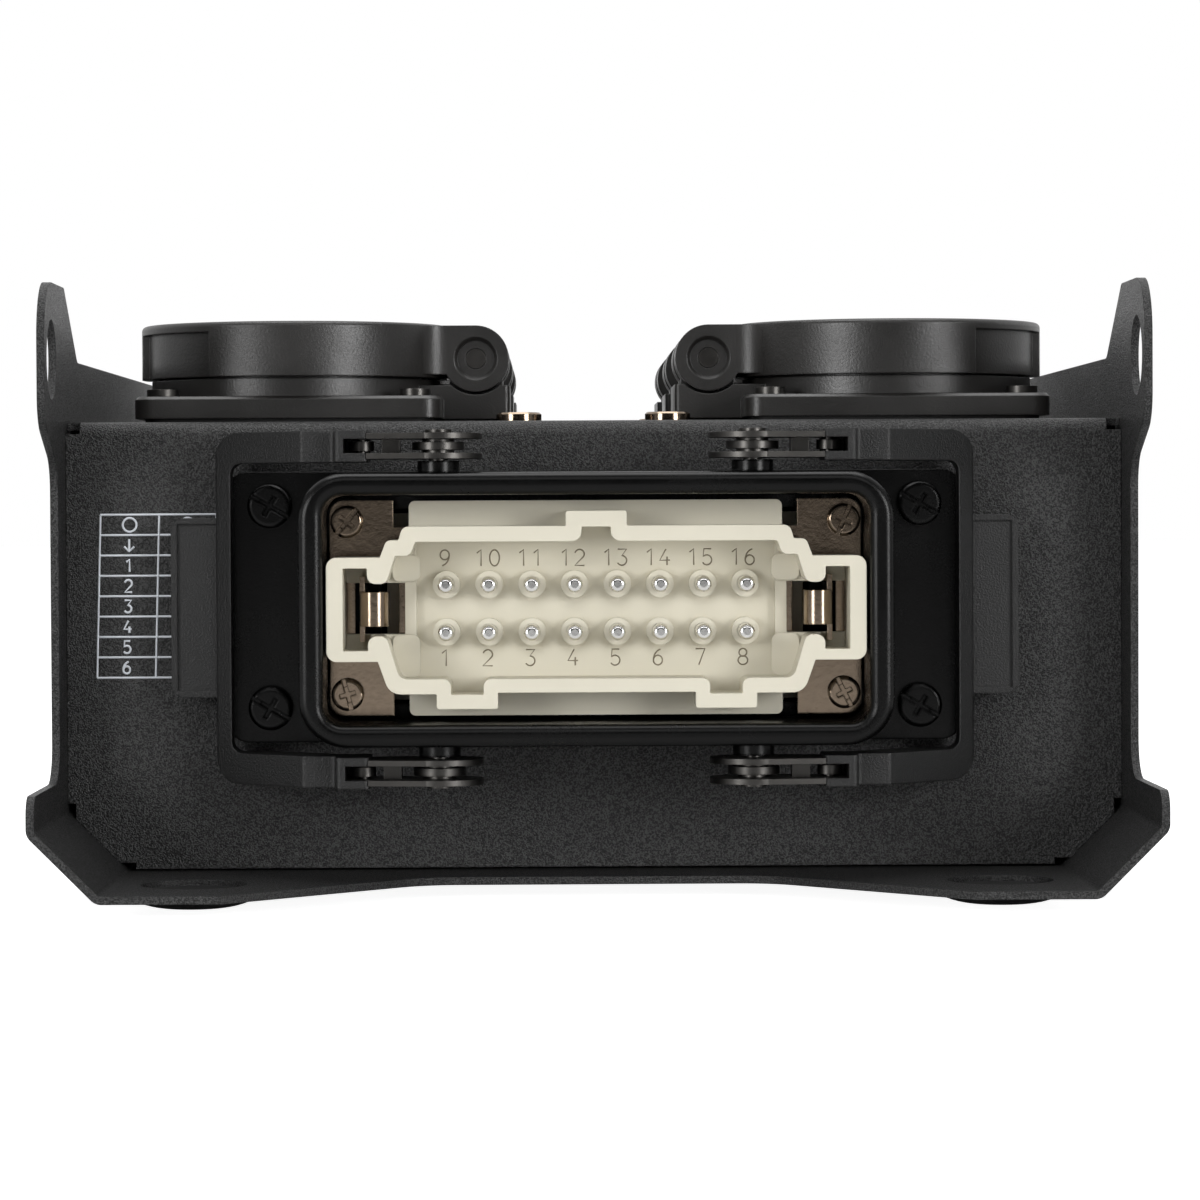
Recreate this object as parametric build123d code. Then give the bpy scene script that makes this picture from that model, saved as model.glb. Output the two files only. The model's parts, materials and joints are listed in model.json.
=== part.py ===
from build123d import *

import os
from math import cos, pi, radians, sqrt, tan

# Power breakout box: a folded steel cradle with ears and guards at both ends, a folded cover
# inside it that carries a sixteen pin inlet on its front panel, and six lidded outlets on its deck.
# x runs across the box, y along it with the inlet at the low end, z up from the table.
# Heights in this file are above the underside of the cradle unless a name says otherwise.

# Folded steel shell
sheet = 1.25
bend_inside = 1.0
deck_height = 73.0
wall_rise = 10.1
corner_chamfer = 10.3
sheet_fit = 0.05
panel_lift = 0.35

# Ends of the side walls, measured ahead of each end panel
guard_reach = 43.5
guard_height = 16.2
guard_corner = 3.0
recess_reach = 10.0
recess_corner = 6.0
ear_reach = 26.0
ear_rise = 21.4
ear_corner = 9.0
ear_root_drop = 28.4
ear_chin_drop = 21.9
ear_sweep = 6.0
ear_shoulder_corner = 3.0
ear_slope_run = 18.0
ear_slope_corner = 4.0
ear_hole_diameter = 12.4
ear_hole_reach = 17.0
ear_hole_drop = 12.0

# Relief in each end of the cradle floor
relief_reach = 14.0
relief_half_width = 26.9
relief_corner = 12.0

# Feet
foot_drop = 2.2
foot_side_inset = 23.4
foot_reach = 24.0
foot_hole_diameter = 16.4
foot_plug_rise = 0.35
foot_collar_diameter = 19.5
foot_collar_thickness = 0.8
foot_pad_diameter = 8.2

# Cover details
notch_width = 2.3
notch_height = 1.9
bend_relief = 2.6
side_flange_depth = 12.0
side_flange_setback = 6.0
side_screw_drop = 7.5
side_screw_pitch = 70.0
side_screw_diameter = 3.0
side_screw_head_diameter = 5.6
side_screw_length = 8.0
side_nut_diameter = 6.4
side_nut_height = 2.4

# Centre rail under the deck, and the round headed bolts that hold it
rail_half_width = 18.0
rail_channel_half_width = 6.5
rail_depth = 12.0
rail_end_gap = 5.0
bolt_spread = 12.1
bolt_end_inset = 12.0
bolt_head_diameter = 7.4
bolt_head_height = 1.5
bolt_head_chamfer = 0.3
bolt_diameter = 4.0
bolt_length = 8.0
bolt_nut_width = 7.0
bolt_nut_height = 3.2
thread_gap = 0.05
hole_gap = 0.2

# Outlets, in two columns of three
outlet_rows = 3
outlet_flange = 50.0
outlet_row_gap = 8.0
outlet_end_gap = 12.7
outlet_side_gap = 9.65
outlet_centre_gap = 24.7
outlet_flange_thickness = 3.6
outlet_flange_corner = 3.0
outlet_flange_edge = 0.5
outlet_gasket_thickness = 0.8
outlet_gasket_inset = 1.5
neck_inset = 0.8
neck_height = 3.0
collar_inset = 2.1
collar_height = 8.6
well_wall = 2.35
well_depth = 17.5
tub_inset = 0.35
tub_depth = 26.0
outlet_screw_inset = 4.4
outlet_screw_diameter = 3.0
outlet_screw_head_diameter = 5.2
outlet_screw_head_height = 1.2
outlet_screw_length = 10.0
contact_spread = 9.5
contact_hole_diameter = 6.0
contact_sleeve_wall = 0.7
contact_depth = 18.0
contact_tail_diameter = 4.0
contact_tail_length = 7.0
clip_width = 5.0
clip_thickness = 1.0
clip_rise = 3.0
clip_stand_off = 0.3

# Outlet lids and their hinges
lid_overhang = 1.65
lid_height = 8.9
lid_gap = 0.3
lid_top_thickness = 2.4
lid_lip_thickness = 1.6
lid_skirt_inset = 1.0
lid_edge_round = 0.8
thumb_depth = 1.2
thumb_sweep = 60.0
thumb_tab_half_width = 5.0
seal_inner_inset = 1.8
seal_outer_inset = 0.2
hinge_axis_reach = 4.55
hinge_axis_in_lid = 3.1
barrel_radius = 5.49
barrel_half_length = 12.0
knuckle_half_length = 6.3
knuckle_side_gap = 0.3
knuckle_web_share = 0.8
barrel_gap = 0.5
arm_bottom_gap = 0.5
arm_sweep = 5.0
hinge_block_front = 5.6
hinge_block_back = 12.4
hinge_block_rise = 2.0
hinge_pin_diameter = 3.3
hinge_pin_recess = 1.0
hinge_recess_diameter = 6.2
hinge_recess_chamfer = 0.5
pin_running_gap = 0.05
pin_fixed_gap = 0.02
spring_half_length = 2.4
spring_wire = 1.2
spring_slot_gap = 0.3

# Inlet housing, measured from the centre of the inlet on the outer face of the front panel
inlet_lift = 6.95
inlet_flange_margin_x = 12.75
inlet_flange_margin_z = 0.4
inlet_flange_thickness = 3.2
inlet_flange_corner = 3.5
inlet_gasket_thickness = 0.8
inlet_gasket_inset = 1.0
inlet_cutout_margin_x = 1.0
inlet_cutout_margin_z = 0.15
inlet_screw_margin_x = 5.75
inlet_screw_margin_z = 5.1
inlet_screw_diameter = 4.0
inlet_screw_head_diameter = 7.0
inlet_screw_head_height = 2.2
inlet_screw_length = 9.0
rim_wall_x = 3.8
rim_wall_z = 3.45
rim_corner = 7.3
rim_inner_height = 35.3
rim_inner_corner = 3.0
rim_beyond_pins = 18.71
rim_reach = 28.0
rim_round = 1.4
floor_opening_inset_x = 7.95
floor_opening_inset_z = 2.15
post_radius = 3.6
insert_screw_inset_x = 3.1
insert_screw_inset_z = 4.15
insert_screw_diameter = 3.0
insert_screw_head_diameter = 5.1
insert_screw_head_height = 1.7
insert_screw_length = 8.0
inlet_screw_turn = 30.0
insert_screw_turns = [75.0, -51.0, 64.0, -67.0]
screw_slot_width = 0.7
screw_slot_depth = 0.7
screw_cross_share = 0.5
screw_cross_depth = 1.0

# Pin insert
insert_block_beyond_pins = 5.86
insert_block_inset_z = 0.9
insert_shoulder_reach = 16.0
insert_plate_reach = 13.3
insert_tail_beyond_pins = 9.76
insert_tail_inset_z = 2.85
insert_tail_length = 22.0
shroud_reach = 26.5
shroud_floor_reach = 15.2
pin_columns = 8
pin_pitch = 6.64
pin_row_pitch = 7.4
pin_diameter = 2.5
pin_reach = 23.5
pin_tip = 0.7
pin_collar_diameter = 4.3
pin_collar_height = 2.0
terminal_width = 5.2
terminal_length = 9.0
terminal_screw_rise = 0.8

# End plates of the insert and the earth springs between them and the shroud
plate_thickness = 1.0
plate_inner_inset = 12.65
plate_outer_inset = 0.35
plate_inset_z = 0.8
plate_corner = 2.3
plate_tab_inset = 10.35
plate_tab_height = 12.7
plate_tab_length = 4.0
plate_window_inner_inset = 11.2
plate_window_outer_inset = 4.35
plate_window_half_height = 4.0
earth_leaf_inset = 5.75
earth_leaf_thickness = 0.8
earth_leaf_half_height = 5.1
earth_tongue_inset = 9.85
earth_tongue_half_height = 2.65
earth_leaf_reach = 20.5
earth_tail_length = 8.3

# Locking levers, one at each side, each a grip with two steel plated arms
lever_pivot_inset = 17.6
lever_pivot_reach = 19.5
boss_radius = 3.25
boss_rise = 1.8
arm_inner_plate_rise = 2.1
arm_outer_plate_rise = 5.2
arm_plate_thickness = 0.9
arm_plate_end_radius = 6.8
arm_plate_tip_half_width = 4.6
arm_plate_tip_from_pivot = 15.05
arm_cheek_inner_rise = 1.65
arm_cheek_outer_rise = 6.5
arm_cheek_start_from_pivot = 10.65
arm_pocket_end_from_pivot = 14.45
arm_cheek_wall = 0.8
arm_step_start_from_pivot = 15.95
arm_step_end_from_pivot = 21.15
arm_step_reach = 20.5
lever_bow_outer_from_pivot = 35.45
lever_bow_inner_from_pivot = 32.95
lever_bow_front = 8.0
lever_bow_back = 4.3
lever_bow_root = 9.0
lever_edge_corner = 0.8
lever_slope_corner = 3.0
lever_outer_corner = 4.0
lever_inner_corner = 1.8
lever_tab_from_pivot = 42.65
lever_tab_overlap = 0.8
lever_tab_half_height = 14.2
lever_tab_front = 7.0
lever_tab_back = 3.6
lever_panel_depth = 0.5
lever_panel_margin = 1.0
lever_tab_corner = 2.0
arm_pocket_front = 8.0
arm_pocket_back = 3.0
pivot_pin_diameter = 3.0
pivot_head_diameter = 4.2
pivot_head_thickness = 0.5
pivot_side_gap = 0.1
disc_diameter = 8.1
disc_thickness = 1.2
disc_hub_diameter = 5.0
peg_from_pivot = 7.25
peg_width = 2.75
peg_depth = 5.0
roller_from_pivot = 11.85
roller_diameter = 3.9
roller_thickness = 1.5
roller_pin_diameter = 1.6

# Earth stud in the floor
stud_side_inset = 19.6
stud_setback = 30.0
stud_diameter = 6.0
stud_length = 16.0
stud_nut_width = 10.0
stud_nut_height = 5.0
stud_washer_diameter = 14.0
stud_washer_thickness = 1.2

# Places of the outlets and the box round them
outlet_pitch = outlet_flange + outlet_row_gap
outlet_spread = outlet_flange / 2 + outlet_centre_gap
box_length = (outlet_rows - 1) * outlet_pitch + outlet_flange + 2 * outlet_end_gap
cradle_width = 2 * (outlet_spread + outlet_flange / 2 + outlet_side_gap + sheet)
half_length = box_length / 2
half_width = cradle_width / 2
inner_half_width = half_width - sheet
cover_half_width = inner_half_width - sheet_fit
deck_underside = deck_height - sheet
panel_bottom = sheet + panel_lift
wall_height = deck_height + wall_rise
ear_height = deck_height + ear_rise
ear_root_height = ear_height - ear_root_drop
ear_chin_height = ear_height - ear_chin_drop
ear_hole_height = ear_height - ear_hole_drop
foot_spread = half_width - foot_side_inset
stud_x = half_width - stud_side_inset
outlet_rows_y = [(row - (outlet_rows - 1) / 2) * outlet_pitch for row in range(outlet_rows)]

# Sizes inside one outlet, from the flange inwards and upwards
neck_radius = outlet_flange / 2 - neck_inset
collar_radius = neck_radius - collar_inset
well_radius = collar_radius - well_wall
tub_radius = collar_radius - tub_inset
lid_radius = neck_radius + lid_overhang
lid_skirt_radius = neck_radius - lid_skirt_inset
seal_inner_radius = collar_radius - seal_inner_inset
seal_outer_radius = collar_radius - seal_outer_inset
outlet_screw_spread = outlet_flange / 2 - outlet_screw_inset
flange_top = outlet_gasket_thickness + outlet_flange_thickness
neck_top = flange_top + neck_height
collar_top = flange_top + collar_height
lid_bottom = neck_top + lid_gap
lid_top = lid_bottom + lid_height
lid_underside = lid_top - lid_top_thickness
hinge_axis_offset = lid_radius + hinge_axis_reach
hinge_axis_rise = lid_bottom + hinge_axis_in_lid
block_face = hinge_axis_offset + hinge_block_front
block_top = flange_top + hinge_block_rise
well_floor = collar_top - well_depth

# Sizes of the inlet, from the row of pins outwards
row_end = (pin_columns - 1) / 2 * pin_pitch
rim_inner_width = 2 * (row_end + rim_beyond_pins)
rim_width = rim_inner_width + 2 * rim_wall_x
rim_height = rim_inner_height + 2 * rim_wall_z
inlet_height = deck_height / 2 + inlet_lift
inlet_flange_width = rim_width + 2 * inlet_flange_margin_x
inlet_flange_height = rim_height + 2 * inlet_flange_margin_z
inlet_cutout_width = rim_inner_width + 2 * inlet_cutout_margin_x
inlet_cutout_height = rim_inner_height - 2 * inlet_cutout_margin_z
inlet_screw_spread_x = rim_width / 2 + inlet_screw_margin_x
inlet_screw_spread_z = rim_height / 2 - inlet_screw_margin_z
inlet_back_face = -inlet_gasket_thickness
inlet_front_face = inlet_back_face - inlet_flange_thickness
floor_opening_width = rim_inner_width - 2 * floor_opening_inset_x
floor_opening_height = rim_inner_height - 2 * floor_opening_inset_z
insert_screw_spread_x = rim_inner_width / 2 - insert_screw_inset_x
insert_screw_spread_z = rim_inner_height / 2 - insert_screw_inset_z
insert_block_width = 2 * (row_end + insert_block_beyond_pins)
insert_block_height = rim_inner_height - 2 * insert_block_inset_z
insert_tail_width = 2 * (row_end + insert_tail_beyond_pins)
insert_tail_height = rim_inner_height - 2 * insert_tail_inset_z
plate_inner = rim_inner_width / 2 - plate_inner_inset
plate_outer = rim_inner_width / 2 - plate_outer_inset
plate_half_height = rim_inner_height / 2 - plate_inset_z
plate_tab_inner = rim_inner_width / 2 - plate_tab_inset
plate_window_inner = rim_inner_width / 2 - plate_window_inner_inset
plate_window_outer = rim_inner_width / 2 - plate_window_outer_inset
plate_back = -insert_plate_reach + plate_thickness
earth_leaf_x = rim_inner_width / 2 - earth_leaf_inset
earth_tongue_x = rim_inner_width / 2 - earth_tongue_inset

# Places along one lever, from its pivot outwards
lever_pivot_x = rim_inner_width / 2 - lever_pivot_inset
arm_plate_tip_x = lever_pivot_x + arm_plate_tip_from_pivot
arm_cheek_start_x = lever_pivot_x + arm_cheek_start_from_pivot
arm_pocket_end_x = lever_pivot_x + arm_pocket_end_from_pivot
arm_step_start_x = lever_pivot_x + arm_step_start_from_pivot
arm_step_end_x = lever_pivot_x + arm_step_end_from_pivot
lever_bow_outer_x = lever_pivot_x + lever_bow_outer_from_pivot
lever_bow_inner_x = lever_pivot_x + lever_bow_inner_from_pivot
lever_tab_x = lever_pivot_x + lever_tab_from_pivot
peg_x = lever_pivot_x + peg_from_pivot
roller_x = lever_pivot_x + roller_from_pivot
boss_top = rim_height / 2 + boss_rise
arm_inner_plate_z = rim_height / 2 + arm_inner_plate_rise
arm_outer_plate_z = rim_height / 2 + arm_outer_plate_rise
arm_cheek_inner_z = rim_height / 2 + arm_cheek_inner_rise
arm_cheek_outer_z = rim_height / 2 + arm_cheek_outer_rise


def slab(x0, x1, y0, y1, z0, z1):
    """A block between two corners."""
    size = (x1 - x0, y1 - y0, z1 - z0)
    middle = ((x0 + x1) / 2, (y0 + y1) / 2, (z0 + z1) / 2)
    return Pos(*middle) * Box(*size)


def rod_x(radius, x0, x1, y=0.0, z=0.0):
    """A round bar along x."""
    return Pos((x0 + x1) / 2, y, z) * Rot(0, 90, 0) * Cylinder(radius, x1 - x0)


def rod_y(radius, y0, y1, x=0.0, z=0.0):
    """A round bar along y."""
    return Pos(x, (y0 + y1) / 2, z) * Rot(90, 0, 0) * Cylinder(radius, y1 - y0)


def rod_z(radius, z0, z1, x=0.0, y=0.0):
    """A round bar along z."""
    return Pos(x, y, (z0 + z1) / 2) * Cylinder(radius, z1 - z0)


def outline(points, rounds):
    """A face inside straight runs, with a round of its own at each corner."""
    return Face(FilletPolyline(*points, radius=rounds, close=True))


def across(face, x0, x1):
    """A face drawn in y and z, made into a solid between two places along x."""
    return extrude(Pos(x0, 0, 0) * (Plane.YZ * face), x1 - x0, dir=(1, 0, 0))


def along(face, y0, y1):
    """A face drawn in x and z, made into a solid between two places along y."""
    return extrude(Pos(0, y0, 0) * (Plane.XZ * face), y1 - y0, dir=(0, 1, 0))


def upward(face, z0, z1):
    """A face drawn in x and y, made into a solid between two heights."""
    return extrude(Pos(0, 0, z0) * face, z1 - z0, dir=(0, 0, 1))


def both_ends(points):
    """An outline of one end, from the low side to the high, joined to its mirror image."""
    return points + [(-y, z) for y, z in reversed(points)]


def mirrored(points):
    """Joins the points of the right half of an outline to their mirror image."""
    return points + [(-x, z) for x, z in reversed(points)]


# Cradle

def cradle_section(inset):
    """The cross section of the cradle, drawn in from its outer skin and open well above the ears."""
    shift = inset * tan(pi / 8)
    side = half_width - inset
    knee = corner_chamfer + shift
    floor_side = half_width - corner_chamfer - shift
    tall = ear_height + sheet
    half = [(side, tall), (side, knee), (floor_side, inset)]
    points = half + [(-x, z) for x, z in reversed(half)]
    bend = bend_inside + sheet - inset
    return outline(points, [0, bend, bend, bend, bend, 0])


def wall_outline():
    """The side wall as seen from the side, with a guard, a recess and an ear at each end."""
    end = -half_length
    below = -sheet
    front = [
        (end - guard_reach, below),
        (end - guard_reach, guard_height),
        (end - recess_reach, guard_height),
        (end - recess_reach, ear_root_height),
        (end - ear_reach, ear_chin_height),
        (end - ear_reach, ear_height),
        (end, ear_height),
        (end + ear_slope_run, wall_height),
    ]
    rounds = [
        0,
        guard_corner,
        recess_corner,
        ear_sweep,
        ear_sweep,
        ear_corner,
        ear_shoulder_corner,
        ear_slope_corner,
    ]
    return outline(both_ends(front), rounds + list(reversed(rounds)))


def floor_relief():
    """The cut in one end of the floor, with slanted sides and large inner corners."""
    inner = -half_length - relief_reach
    outer = -half_length - guard_reach - sheet
    mouth = relief_half_width + inner - outer
    points = [(-mouth, outer), (-relief_half_width, inner), (relief_half_width, inner), (mouth, outer)]
    face = outline(points, [0, relief_corner, relief_corner, 0])
    return upward(face, -sheet, 2 * sheet)


def side_screw_places():
    """Where the cover's screws pass through the walls, as y and height."""
    return [(step * side_screw_pitch, deck_height - side_screw_drop) for step in (-1, 0, 1)]


def make_cradle():
    end = half_length + guard_reach
    body = along(cradle_section(0), -end, end) - along(cradle_section(sheet), -end, end)
    body = body & across(wall_outline(), -half_width, half_width)
    for turn in (0, 180):
        y = -half_length - ear_hole_reach
        ear_holes = rod_x(ear_hole_diameter / 2, -half_width, half_width, y, ear_hole_height)
        body -= Rot(0, 0, turn) * (floor_relief() + ear_holes)
        for x in (-foot_spread, foot_spread):
            foot = rod_z(foot_hole_diameter / 2, -sheet, 2 * sheet, x, -half_length - foot_reach)
            body -= Rot(0, 0, turn) * foot
    for side in (-1, 1):
        for y, z in side_screw_places():
            body -= Pos(side * half_width, y, z) * screw_hole_in_wall(side)
    body -= rod_z(stud_diameter / 2 + hole_gap, -sheet, 2 * sheet, stud_x, half_length - stud_setback)
    return body


def screw_hole_in_wall(side):
    """A sunk screw's hole, from the outer face of a wall inward."""
    cone = Cone(
        side_screw_head_diameter / 2 + sheet_fit,
        side_screw_diameter / 2 + sheet_fit,
        sheet,
        align=(Align.CENTER, Align.CENTER, Align.MIN),
    )
    return Rot(0, -90 * side, 0) * cone


def make_feet():
    """Four rubber feet, each a plug in its hole with a collar below and a rounded pad."""
    plug = foot_hole_diameter / 2 - pin_running_gap
    collar = foot_collar_diameter / 2
    pad = foot_pad_diameter / 2
    with BuildPart() as foot:
        with BuildSketch(Plane.XZ):
            with BuildLine():
                Polyline(
                    (collar, -foot_collar_thickness),
                    (collar, 0),
                    (plug, 0),
                    (plug, foot_plug_rise),
                    (0, foot_plug_rise),
                    (0, -foot_drop),
                    (pad, -foot_drop),
                )
                TangentArc((pad, -foot_drop), (collar, -foot_collar_thickness), tangent=(1, 0))
            make_face()
        revolve(axis=Axis.Z)
    places = [(x, y) for x in (-foot_spread, foot_spread) for y in (-1, 1)]
    reach = half_length + foot_reach
    return Compound(children=[Pos(x, y * reach, 0) * foot.part for x, y in places])


# Cover

def cover_section(inset):
    """The cover from the side: front panel, deck and rear panel in one strip."""
    end = half_length - inset
    top = deck_height - inset
    low = panel_bottom - inset
    bend = bend_inside + sheet - inset
    return outline([(-end, low), (-end, top), (end, top), (end, low)], [0, bend, bend, 0])


def side_flange(side):
    """The strip bent down from one side of the deck, against the wall."""
    outer = cover_half_width
    top = deck_height
    low = deck_underside - side_flange_depth
    inner = outer - sheet
    points = [(inner, low), (outer, low), (outer, top), (inner - 2 * sheet, top)]
    points += [(inner - 2 * sheet, deck_underside), (inner, deck_underside)]
    round_out = bend_inside + sheet
    face = outline(points, [0, 0, round_out, 0, 0, bend_inside])
    end = half_length - side_flange_setback
    strip = along(face, -end, end)
    return strip if side > 0 else Rot(0, 0, 180) * strip


def make_cover():
    body = across(cover_section(0), -cover_half_width, cover_half_width)
    body -= across(cover_section(sheet), -cover_half_width, cover_half_width)
    edge = cover_half_width - bend_inside - sheet
    for side in (-1, 1):
        far = side * (cover_half_width + sheet)
        x0, x1 = sorted((side * edge, far))
        run = half_length - side_flange_setback
        body -= slab(x0, x1, -run, run, deck_underside - sheet, deck_height + sheet)
        body += side_flange(side)
    body = body & along(cover_blank(), -half_length, half_length)
    for cut in corner_notches() + panel_cuts() + deck_cuts():
        body -= cut
    for y, z in side_screw_places():
        body -= rod_x(side_screw_diameter / 2 + hole_gap, -half_width, half_width, y, z)
    return body


def cover_blank():
    """The cover's outline from the front, with its lower corners cut to follow the cradle."""
    notch = bend_relief / 2
    shift = sheet * tan(pi / 8)
    knee = corner_chamfer + shift
    floor_side = half_width - corner_chamfer - shift
    slope_start = floor_side - sheet - sheet_fit
    side = inner_half_width - notch
    foot = floor_side + notch
    half = [
        (half_width, deck_height + sheet),
        (half_width, knee + notch),
        (side, knee + notch),
        (side, side - slope_start),
        (foot, foot - slope_start),
        (floor_side - notch, foot - slope_start),
        (floor_side - notch, 0),
    ]
    return Polygon(*mirrored(half), align=None)


def corner_notches():
    """The relief notches in the top corners of both end panels."""
    cuts = []
    for end in (-1, 1):
        y0, y1 = sorted((end * (half_length - 2 * sheet), end * (half_length + sheet)))
        for side in (-1, 1):
            x0, x1 = sorted((side * (cover_half_width - notch_width), side * half_width))
            cuts.append(slab(x0, x1, y0, y1, deck_height - notch_height, deck_height + sheet))
    return cuts


def inlet_places():
    """Where the inlet housing's screws pass through the front panel."""
    return [(x, z) for x in (-inlet_screw_spread_x, inlet_screw_spread_x)
            for z in (-inlet_screw_spread_z, inlet_screw_spread_z)]


def panel_cuts():
    """The inlet's opening and screw holes in the front panel."""
    window = RectangleRounded(inlet_cutout_width, inlet_cutout_height, bend_inside)
    cut = Pos(0, 0, inlet_height) * along(window, -half_length - sheet, -half_length + 2 * sheet)
    cuts = [cut]
    for x, z in inlet_places():
        radius = inlet_screw_diameter / 2 + thread_gap
        hole = rod_y(radius, -half_length - sheet, -half_length + 2 * sheet, x, inlet_height + z)
        cuts.append(hole)
    return cuts


def bolt_places():
    """Where the centre rail is bolted to the deck: before, between and behind the outlets."""
    ends = half_length - bolt_end_inset
    between = [(low + high) / 2 for low, high in zip(outlet_rows_y, outlet_rows_y[1:])]
    return [(x, y) for x in (-bolt_spread, bolt_spread) for y in [-ends] + between + [ends]]


def outlet_places():
    """Where each outlet sits and how it is turned, so that its hinge faces the centre line."""
    left = [(-outlet_spread, y, 0) for y in outlet_rows_y]
    right = [(outlet_spread, y, 180) for y in outlet_rows_y]
    return left + right


def at_outlet(place, shape):
    """Moves a shape drawn about an outlet's own centre on the deck to one of the six places."""
    x, y, turn = place
    return Pos(x, y, deck_height) * Rot(0, 0, turn) * shape


def screw_corners(spread):
    """The four corners of a square of screws."""
    return [(x, y) for x in (-spread, spread) for y in (-spread, spread)]


def deck_cuts():
    """The openings for the outlets and the holes for their screws and the rail's bolts."""
    cuts = []
    low = -2 * sheet
    for place in outlet_places():
        cuts.append(at_outlet(place, rod_z(tub_radius + hole_gap, low, sheet)))
        for x, y in screw_corners(outlet_screw_spread):
            hole = rod_z(outlet_screw_diameter / 2 + thread_gap, low, sheet, x, y)
            cuts.append(at_outlet(place, hole))
    for x, y in bolt_places():
        cuts.append(rod_z(bolt_diameter / 2 + thread_gap, deck_height + low, deck_height + sheet, x, y))
    return cuts


def make_side_screws():
    """The sunk screws that hold the cover between the walls."""
    head = Cone(
        side_screw_head_diameter / 2,
        side_screw_diameter / 2,
        sheet,
        align=(Align.CENTER, Align.CENTER, Align.MIN),
    )
    screw = head + rod_z(side_screw_diameter / 2, sheet, side_screw_length)
    screws = []
    for side in (-1, 1):
        for y, z in side_screw_places():
            screws.append(Pos(side * half_width, y, z) * Rot(0, -90 * side, 0) * screw)
    return Compound(children=screws)


def make_side_nuts():
    """The press nuts on the inside of the cover's side flanges."""
    outer = cover_half_width - sheet
    ring = rod_z(side_nut_diameter / 2, 0, side_nut_height)
    ring -= rod_z(side_screw_diameter / 2 + thread_gap, 0, side_nut_height)
    nuts = []
    for side in (-1, 1):
        for y, z in side_screw_places():
            nuts.append(Pos(side * outer, y, z) * Rot(0, -90 * side, 0) * ring)
    return Compound(children=nuts)


# Centre rail

def make_rail():
    """A hat section rail under the deck between the two columns of outlets."""
    top = deck_underside
    low = top - rail_depth
    channel = rail_channel_half_width
    half = [
        (rail_half_width, top),
        (rail_half_width, top - sheet),
        (channel + sheet, top - sheet),
        (channel + sheet, low),
    ]
    inner = [(channel, top), (channel, low + sheet)]
    points = half + [(-x, z) for x, z in reversed(half)]
    points += [(-x, z) for x, z in inner] + list(reversed(inner))
    face = outline(points, [0] * len(points))
    end = half_length - rail_end_gap
    rail = along(face, -end, end)
    for x, y in bolt_places():
        rail -= rod_z(bolt_diameter / 2 + thread_gap, top - 2 * sheet, top + sheet, x, y)
    return rail


def make_rail_bolts():
    """The bolts with flat round heads that stand on the deck."""
    head = rod_z(bolt_head_diameter / 2, 0, bolt_head_height)
    head = chamfer(head.edges().group_by(Axis.Z)[-1], bolt_head_chamfer)
    bolt = head + rod_z(bolt_diameter / 2, -bolt_length, 0)
    return Compound(children=[Pos(x, y, deck_height) * bolt for x, y in bolt_places()])


def hex_nut(width, height, bore):
    """A plain hexagon nut that stands on its own origin."""
    nut = upward(RegularPolygon(width / 2, 6, major_radius=False), 0, height)
    return nut - rod_z(bore, 0, height)


def make_rail_nuts():
    """The nuts under the rail's flanges."""
    nut = hex_nut(bolt_nut_width, bolt_nut_height, bolt_diameter / 2 + thread_gap)
    low = deck_underside - sheet - bolt_nut_height
    return Compound(children=[Pos(x, y, low) * nut for x, y in bolt_places()])


# Outlets, drawn about their own centre on the deck with the hinge towards x

def make_outlet_body():
    """The fixed part of an outlet: flange, neck, collar, the tub round the well, hinge block."""
    flange = RectangleRounded(outlet_flange, outlet_flange, outlet_flange_corner)
    body = upward(flange, outlet_gasket_thickness, flange_top)
    body = chamfer(body.edges().group_by(Axis.Z)[-1], outlet_flange_edge)
    body += rod_z(neck_radius, flange_top, neck_top)
    body += rod_z(collar_radius, neck_top, collar_top)
    body += rod_z(tub_radius, -tub_depth, outlet_gasket_thickness)
    body += hinge_base()
    body -= rod_z(well_radius, -tub_depth, collar_top)
    for x, y in screw_corners(outlet_screw_spread):
        body -= rod_z(outlet_screw_diameter / 2 + thread_gap, 0, flange_top, x, y)
    return body


def clip_place(side):
    """Both faces of one earth strip, as y, a little in from the wall of the well."""
    outer = side * (well_radius - clip_stand_off)
    inner = side * (well_radius - clip_stand_off - clip_thickness)
    return sorted((outer, inner))


def make_outlet_core():
    """The contact carrier that closes the tub, with two contact holes and two strip slots."""
    core = rod_z(well_radius - pin_fixed_gap, -tub_depth, well_floor)
    for x in (-contact_spread, contact_spread):
        core -= rod_z(contact_hole_diameter / 2, well_floor - contact_depth, well_floor, x)
        core -= rod_z(contact_tail_diameter / 2 + pin_fixed_gap, -tub_depth, well_floor, x)
    for side in (-1, 1):
        half = clip_width / 2 + pin_fixed_gap
        y0, y1 = clip_place(side)
        core -= slab(-half, half, y0 - pin_fixed_gap, y1 + pin_fixed_gap, -tub_depth, well_floor)
    return core


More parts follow.
